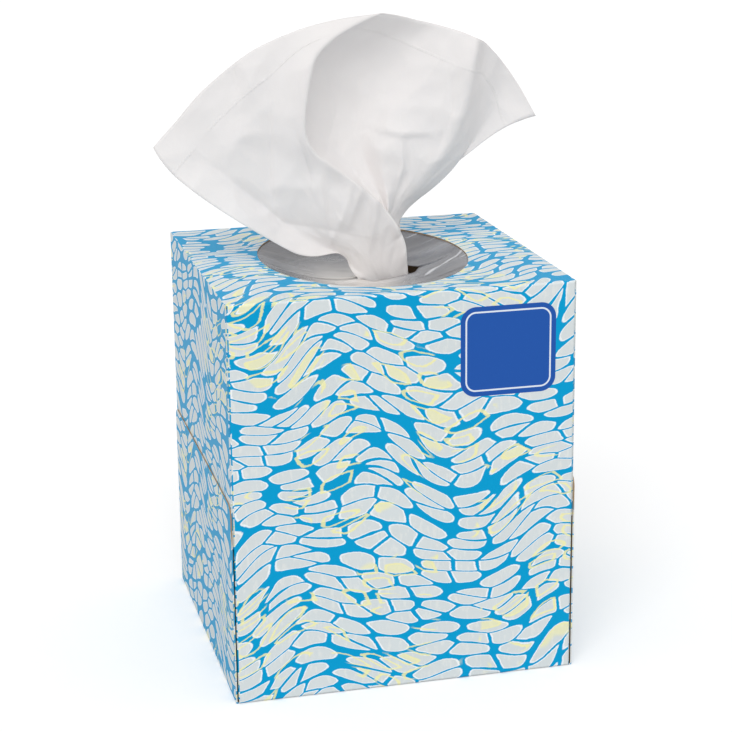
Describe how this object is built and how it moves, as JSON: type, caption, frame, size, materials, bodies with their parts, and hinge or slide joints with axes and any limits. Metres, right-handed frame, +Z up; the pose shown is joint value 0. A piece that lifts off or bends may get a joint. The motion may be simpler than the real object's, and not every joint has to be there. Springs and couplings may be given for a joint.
{
  "type": "tissue box",
  "caption": "Upright folded carton with an oval top mouth and a slit film window, holding an arched clip of sheets with one drawn up.",
  "frame": {"origin": "middle of the carton's base, in the plane it stands on", "axes": "+Z up, -Y towards the front face, +X to the right of the front face"},
  "size_m": [0.1297, 0.11, 0.2094],
  "materials": {
    "printed_board": "printed boxboard with raw brown cut edges",
    "clear_film": "clear limp film",
    "stacked_tissue": "soft white tissue in layers",
    "soft_tissue": "soft white two-ply tissue"
  },
  "bodies": {
    "root": {"carton": "printed_board", "film_window": "clear_film", "tissue_stack": "stacked_tissue", "popup_tissue": "soft_tissue"}
  },
  "joints": []
}
